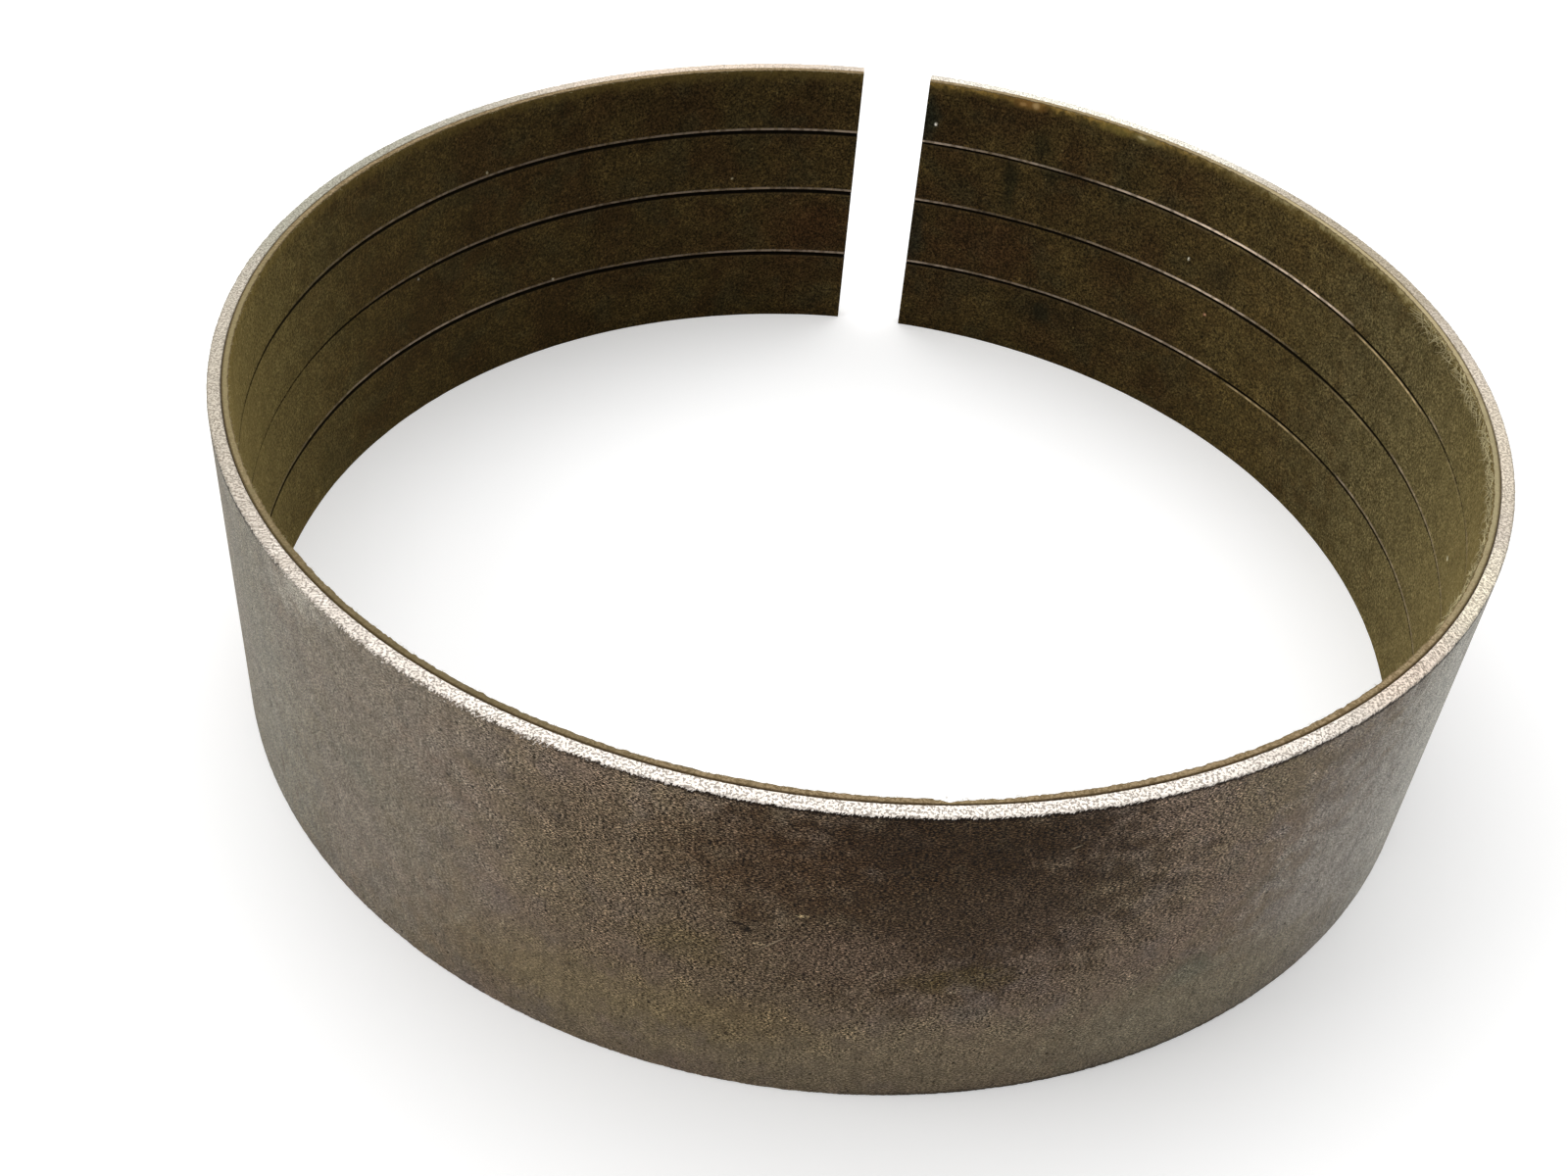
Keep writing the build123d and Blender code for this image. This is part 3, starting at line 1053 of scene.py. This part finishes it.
PAPER = tint(67, 54, 28)
PAPER_CLOUDS = (
    # what it is, cell in mm, limits of the noise, colour, strength
    ("dark", 9, (0.38, 0.62), (58, 43, 22), 1.0),
    ("green", 6, (0.50, 0.66), (48, 44, 27), 0.5),
)
LINING_PATCHES = (
    # what it is, centre pixel, spread along the band and up it in mm, colour, strength
    # painted light: the three rows below draw the side walls paler where light falls on them at a flat angle
    ("paler right", (1460, 520), (60, 70), (90, 81, 53), 0.85),
    ("painted light left", (258, 440), (46, 70), (84, 74, 44), 0.80),
    ("painted light upper right", (1290, 290), (20, 60), (80, 66, 35), 0.60),
    ("dim low", (1080, 320), (13, 6), (42, 32, 17), 0.70),
    ("smudge", (1030, 190), (2.2, 6.5), (20, 24, 14), 0.7),
    ("smudge", (1062, 150), (2.5, 3.5), (20, 24, 14), 0.6),
    ("smudge", (1075, 178), (3.5, 2.5), (20, 26, 16), 0.6),
    ("dark end", (948, 120), (2.6, 7.0), (26, 32, 24), 0.8),
    ("dark end", (934, 240), (2.0, 9.0), (28, 32, 26), 0.6),
    ("smudge", (1063, 317), (2.5, 3.0), (20, 22, 14), 0.7),
    ("smudge", (1145, 205), (4.0, 4.0), (30, 30, 18), 0.5),
    ("smudge", (1245, 285), (4.0, 5.0), (38, 30, 18), 0.5),
    ("warm stain", (820, 230), (12, 9), (62, 38, 20), 0.5),
    ("warm stain", (1000, 250), (12, 8), (58, 36, 20), 0.5),
    ("white speck", (955, 127), (0.34, 0.42), (226, 220, 206), 1.0),
    ("white speck", (1477, 570), (0.7, 0.4), (216, 212, 180), 1.0),
    ("white speck", (747, 182), (0.34, 0.32), (150, 140, 112), 0.9),
    ("white speck", (1213, 264), (0.30, 0.42), (220, 214, 190), 1.0),
    ("white speck", (1229, 321), (0.40, 0.42), (150, 110, 84), 0.9),
    ("white speck", (427, 285), (0.34, 0.36), (190, 180, 160), 0.9),
    ("white speck", (564, 285), (0.34, 0.36), (180, 170, 150), 0.9),
    ("white speck", (497, 176), (0.34, 0.36), (170, 160, 130), 0.9),
)
CORNER_PATCHES = (
    # where the paper has torn along its top corner and shows its inside
    ("torn", (1050, 104), (4.6, 1.7), (140, 102, 52), 0.90),
    ("torn", (1024, 97), (3.6, 1.0), (120, 94, 44), 0.75),
    ("torn", (1140, 131), (4.4, 1.5), (138, 122, 62), 0.50),
    ("torn", (1170, 142), (3.2, 1.1), (156, 140, 88), 0.45),
    ("crumb", (1057, 108), (0.8, 0.8), (196, 164, 110), 0.90),
    ("crumb", (1044, 106), (0.9, 0.5), (180, 142, 86), 0.80),
    ("crumb", (1166, 141), (1.0, 0.4), (206, 190, 142), 0.80),
)
FRINGE_PATCHES = (
    # stretches whose top corner has a pale fringe of torn fibres
    ("cream", (1425, 292), (56, 90), (186, 172, 124), 0.75),
    ("ochre", (1065, 110), (40, 60), (168, 136, 70), 1.0),
)
EDGE_PATCHES = (
    # how the lining's cut top changes along the band
    ("paler right", (1522, 480), (50, 60), (160, 150, 116), 0.8),
    ("back", (1180, 150), (50, 60), (160, 144, 112), 0.7),
    ("upper right", (1400, 255), (44, 60), (190, 176, 138), 0.7),
    ("left", (240, 400), (50, 60), (134, 123, 90), 0.8),
    ("front left", (420, 690), (42, 60), (98, 88, 62), 0.7),
)

PAPER_SHEEN = tint(196, 172, 96)
FELT_CELL = (0.36 * MM,) * 3
FELT_DEPTH = 0.12 * MM
SLOW_FELT_CELL = (3.0 * MM,) * 3
FLECK_CELL = 1.7 * MM
FLECK_PALE = tint(140, 122, 78)

BREAK_CELL = 0.9 * MM
LIP_CELL = 1.2 * MM
# pale fibres of the lips, partly a painted highlight where light catches them
UPPER_LIP_PALE_AND_HIGHLIGHT = tint(255, 230, 204)
LOWER_LIP_PALE_AND_HIGHLIGHT = tint(204, 180, 134)
# painted shade in the groove channel, nearly black
CHANNEL_PAINTED_SHADE = tint(6, 3, 2)

SHAG_CELL = 1.0 * MM
SHAG_REACH = 3.4 * MM
WORN_DEPTHS = (2.2 * MM, 0.2 * MM)
TIP_DEPTHS = (1.0 * MM, -0.2 * MM)
WORN_TAN = tint(112, 94, 48)
WEB_CELL = 0.34 * MM
WEB_REACH = 0.6 * MM
CUT_EDGE_DEPTHS = (0.22 * MM, 0.0)
CUT_DARK = tint(112, 95, 68)
CUT_PALE = tint(156, 136, 106)
CUT_CORNER = tint(98, 84, 60)
CUT_CORNER_DEPTHS = (-0.20 * MM, 0.0)
SEAM_DEPTHS = (-0.60 * MM, -0.78 * MM)  # where the dark seam beside the steel starts
BACK_SPREAD = (85 * MM, 75 * MM, 50 * MM)  # of the stretch on both sides of the gap where that seam is faint
SEAM_BROWN = tint(62, 48, 30)


def grooved(finish, colour, rise):
    """Draws the three grooves: pale uneven lips, partly a painted highlight, and a channel of painted shade
    that fades where it is shallow.
    """
    deep, bright = finish.stored("groove_depth"), finish.stored("lip_light")
    broken = finish.ease(finish.noise(finish.place, BREAK_CELL, 2.0), 0.42, 0.56)
    faint = finish.times(finish.ease(deep, 0.0, 0.40), broken)
    channel = finish.most(finish.ease(deep, 0.30, 0.52), faint)
    uneven = finish.ease(finish.noise(finish.place, LIP_CELL, 3.0), 0.38, 0.56, 0.50, 1.15)
    upper = finish.times(finish.most(bright, 0.0), uneven)
    lower = finish.times(finish.most(finish.times(bright, -1.0), finish.times(bright, 0.10)), uneven)
    for share in GROOVE_SHARES:
        inputs = {"height": rise, "centre": share * band_top, "depth": deep}
        masks = finish.group(pressed_groove, "Channel", **inputs).node.outputs
        colour = finish.blend(finish.times(masks["Upper lip"], upper), colour, UPPER_LIP_PALE_AND_HIGHLIGHT)
        colour = finish.blend(finish.times(masks["Lower lip"], lower), colour, LOWER_LIP_PALE_AND_HIGHLIGHT)
        colour = finish.blend(finish.times(masks["Channel"], channel), colour, CHANNEL_PAINTED_SHADE)
    return colour


def torn_top(finish, colour, surface, rise):
    """Wears the paper's top pale in a shaggy border, with stretches of fringe and the torn corner."""
    shag = finish.minus(finish.noise(finish.place, SHAG_CELL, 4.0, 0.65), 0.5)
    shaggy = finish.sum(rise, finish.times(shag, SHAG_REACH))
    worn = finish.times(near_top(finish, shaggy, WORN_DEPTHS), 0.60)
    colour = finish.blend(worn, colour, WORN_TAN)
    fringed = patched(finish, colour, surface, FRINGE_PATCHES, on_lining)
    colour = finish.blend(near_top(finish, shaggy, TIP_DEPTHS), colour, fringed)
    return patched(finish, colour, surface, CORNER_PATCHES, on_lining)


def cut_edge_colour(finish, surface, rise, web):
    """Top edge of the paper: a web of pale fibres, a darker inner corner and a dark seam beside the steel."""
    colour = finish.blend(finish.ease(web, 0.40, 0.60), CUT_DARK, CUT_PALE)
    colour = patched(finish, colour, surface, EDGE_PATCHES, on_top_corner(lining_inner))
    colour = finish.blend(near_top(finish, rise, CUT_CORNER_DEPTHS), colour, CUT_CORNER)
    gap = {"place": finish.place, "centre": (0, lining_inner, band_top), "spread": BACK_SPREAD}
    faint = finish.ease(finish.group(soft_spot, "Mask", **gap), 0.0, 1.0, 0.90, 0.15)
    seam = finish.times(near_top(finish, rise, SEAM_DEPTHS), faint)
    return finish.blend(seam, colour, SEAM_BROWN)


def lining_finish():
    """Resin-bonded friction paper: felted, dark olive brown, paler at its cut edge and grooves' lips; painted
    light on its side walls, the lips partly a painted highlight, and painted shade in the grooves.
    """
    sheen = {"Sheen_Weight": 0.40, "Sheen_Roughness": 0.45, "Sheen_Tint": PAPER_SHEEN}
    finish = Finish("lining_finish", Roughness=0.9, Specular_IOR_Level=0.08, **sheen)
    surface, rise = finish.surface_map()
    colour = clouded(finish, PAPER, PAPER_CLOUDS)
    colour = patched(finish, colour, surface, LINING_PATCHES, on_lining)
    felt = {"surface": finish.place, "cell": FELT_CELL, "contrast": 3.6}
    colour = finish.scaled(colour, finish.group(grain, "Shade", **felt))
    slow_felt = {"surface": finish.place, "cell": SLOW_FELT_CELL, "contrast": 0.8}
    colour = finish.scaled(colour, finish.group(grain, "Shade", **slow_felt))
    flecks = finish.group(small_pits, "Mask", place=finish.place, cell=FLECK_CELL, size=0.14, share=0.16)
    colour = finish.blend(finish.times(flecks, 0.8), colour, FLECK_PALE)
    colour = grooved(finish, colour, rise)
    colour = torn_top(finish, colour, surface, rise)

    web = finish.noise(finish.place, WEB_CELL, 3.0, 0.62, 0.8)
    frayed = finish.sum(rise, finish.times(finish.minus(web, 0.5), WEB_REACH))
    edge = near_top(finish, frayed, CUT_EDGE_DEPTHS)
    colour = finish.blend(edge, colour, cut_edge_colour(finish, surface, rise, web))
    finish.feed(colour, finish.shader["Base Color"])
    finish.relief(finish.group(grain, "Height", **felt), FELT_DEPTH)
    return finish.material


# Other finishes

FIBRE_CELL = 2.0 * MM
FIBRE_COLOURS = (tint(118, 104, 66), tint(214, 202, 158))
FILM_CLOUD_CELL = 0.8 * MM
FILM_COLOURS = (tint(36, 25, 15), tint(66, 50, 32))
SCALE_CELL = 5 * MM
SCALE_COLOURS = (tint(96, 86, 76), tint(120, 108, 96))
SAND_CELL = (0.36 * MM,) * 3
SAND_DEPTH = 0.12 * MM


def fibre_finish():
    """Loose fibres, paler than the paper that they come out of."""
    finish = Finish("fibre_finish", Roughness=0.9, Specular_IOR_Level=0.1)
    cloud = finish.noise(finish.place, FIBRE_CELL, 2.0)
    finish.feed(finish.blend(cloud, *FIBRE_COLOURS), finish.shader["Base Color"])
    return finish.material


def film_finish():
    """Cured adhesive, nearly black brown."""
    finish = Finish("film_finish", Roughness=0.6, Specular_IOR_Level=0.2)
    cloud = finish.noise(finish.place, FILM_CLOUD_CELL, 3.0)
    finish.feed(finish.blend(cloud, *FILM_COLOURS), finish.shader["Base Color"])
    return finish.material


def lug_finish():
    """Forged steel: brown-grey scale with a sandy grain, worn brighter in places."""
    finish = Finish("lug_finish", Roughness=0.55, Metallic=0.4)
    worn = finish.ease(finish.noise(finish.place, SCALE_CELL, 4.0), 0.35, 0.65)
    sand = {"surface": finish.place, "cell": SAND_CELL, "contrast": 1.7}
    colour = finish.scaled(finish.blend(worn, *SCALE_COLOURS), finish.group(grain, "Shade", **sand))
    finish.feed(colour, finish.shader["Base Color"])
    finish.relief(finish.group(grain, "Height", **sand), SAND_DEPTH)
    return finish.material


# Pieces

DOUBLED = 0.0005 * MM  # corners closer than this are one
FILLET_SHARP_ANGLE = 25


def dress(piece, material, node):
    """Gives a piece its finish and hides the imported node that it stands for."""
    piece.data.materials.clear()
    piece.data.materials.append(material)
    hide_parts(node)
    return piece


def smooth_copy(node, name):
    """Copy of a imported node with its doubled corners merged: fillets shade smoothly and flats stay flat."""
    shape = bmesh.new()
    shape.from_mesh(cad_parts[node].data)
    bmesh.ops.remove_doubles(shape, verts=shape.verts, dist=DOUBLED)
    mesh = bpy.data.meshes.new(name)
    shape.to_mesh(mesh)
    shape.free()
    piece = finished_piece(name, mesh, sharp=FILLET_SHARP_ANGLE)
    flats = piece.modifiers.new("flats", "WEIGHTED_NORMAL")
    flats.keep_sharp = True
    return piece


strap = ring_piece("strap", strap_profile(), STRAP_COUNT, strap_outer, strap_wear)
dress(strap, strap_finish(), "steel_strap")
lining = ring_piece("lining", lining_profile(), LINING_COUNT, lining_inner, lining_wear)
mark_grooves(lining, lining_profile())
dress(lining, lining_finish(), "friction_lining")
film = ring_piece("film", film_profile(), FILM_COUNT, film_outer, film_wear)
dress(film, film_finish(), "bond_film")
fibre_look = fibre_finish()
curled_ends = [radians(end) for end in CURLED_STRETCH]
fibre_kinds = (
    ("loose_fibres", (half_gap, WHOLE_TURN - half_gap), LOOSE_FIBRES),
    ("curled_fibres", curled_ends, CURLED_FIBRES),
)
for name, ends, kind in fibre_kinds:
    fibres = finished_piece(name, fibre_mesh(name, *ends, **kind))
    fibres.data.materials.append(fibre_look)
forged = lug_finish()
for side in ("apply", "anchor"):
    dress(smooth_copy(f"{side}_lug", f"{side}_pin_lug"), forged, f"{side}_lug")


# Floor, light and camera

FLOOR_SIZE = 3.0  # from its middle to each side
FLOOR_GREY = (0.80, 0.80, 0.80, 1)
WHITE = (1.0, 1.0, 1.0, 1)
FLOOR_FADE = (0.30, 0.90)  # distances from the ring's axis between which the floor's glow grows
FLOOR_GLOW = (0.34, 1.0)
BRIGHT_WAY = Vector((-0.45, 0.85, 0.25))
SKY_LIMITS = (-0.6, 0.8)
SKY_LEVELS = (0.25, 0.75)
LAMPS = (
    # name, place, size, power in watts
    ("overhead", (0.0, 0.25, 0.75), 0.9, 4.7),
    ("left", (-0.62, -0.20, 0.55), 0.45, 1.7),
)


def seen(nodes):
    """1 for rays that show a thing to the camera, straight, mirrored or through glass, and 0 for light."""
    path = nodes.put("ShaderNodeLightPath", {}).node.outputs
    return nodes.most(path["Is Camera Ray"], nodes.most(path["Is Glossy Ray"], path["Is Transmission Ray"]))


def plain_floor():
    """White floor that keeps the band's soft shadow and otherwise shows as white, more so far away."""
    corners = [(x * FLOOR_SIZE, y * FLOOR_SIZE, 0) for x, y in ((-1, -1), (1, -1), (1, 1), (-1, 1))]
    mesh = bpy.data.meshes.new("floor")
    mesh.from_pydata(corners, [], [(0, 1, 2, 3)])
    dull = {"Roughness": 0.9, "Specular_IOR_Level": 0.0}
    finish = Finish("floor_white", Base_Color=FLOOR_GREY, Emission_Color=WHITE, **dull)
    away = finish.vectors("LENGTH", finish.place, output="Value")
    level = finish.ease(away, *FLOOR_FADE, *FLOOR_GLOW)
    finish.feed(finish.times(seen(finish), level), finish.shader["Emission Strength"])
    mesh.materials.append(finish.material)
    in_scene("floor", mesh)


def soft_world():
    """White where it is seen or mirrored; as a light, dim at the front right and bright at the back left."""
    world = bpy.data.worlds.new("studio")
    bpy.context.scene.world = world
    world.use_nodes = True
    nodes = Nodes(world.node_tree)
    background = world.node_tree.nodes["Background"].inputs
    direction = nodes.put("ShaderNodeTexCoord", {}, "Generated")
    towards = nodes.vectors("DOT_PRODUCT", direction, BRIGHT_WAY.normalized(), output="Value")
    level = nodes.ease(towards, *SKY_LIMITS, *SKY_LEVELS)
    nodes.feed(WHITE, background["Color"])
    nodes.feed(nodes.most(level, seen(nodes)), background["Strength"])


def soft_lamp(name, place, size, power):
    """Square area light that points at the band."""
    lamp = bpy.data.lights.new(name, "AREA")
    lamp.size = size
    lamp.energy = power
    holder = in_scene(name, lamp)
    holder.location = place
    holder.rotation_euler = (-Vector(place)).to_track_quat("-Z", "Y").to_euler()


def photo_camera():
    """Camera where the photograph was taken from."""
    camera = bpy.data.cameras.new("camera")
    camera.sensor_fit = "HORIZONTAL"
    camera.sensor_width = SENSOR_WIDTH
    camera.lens = FOCAL_PIXELS * SENSOR_WIDTH / PHOTO_WIDTH
    camera.clip_start = 0.01
    holder = in_scene("camera", camera)
    right, up, forward = camera_axes()
    turn = Matrix((right, up, -forward)).transposed()
    holder.matrix_world = Matrix.Translation(CAMERA_PLACE) @ turn.to_4x4()
    bpy.context.scene.camera = holder


plain_floor()
soft_world()
for name, place, size, power in LAMPS:
    soft_lamp(name, place, size, power)
photo_camera()
bpy.context.scene.view_settings.view_transform = "Standard"
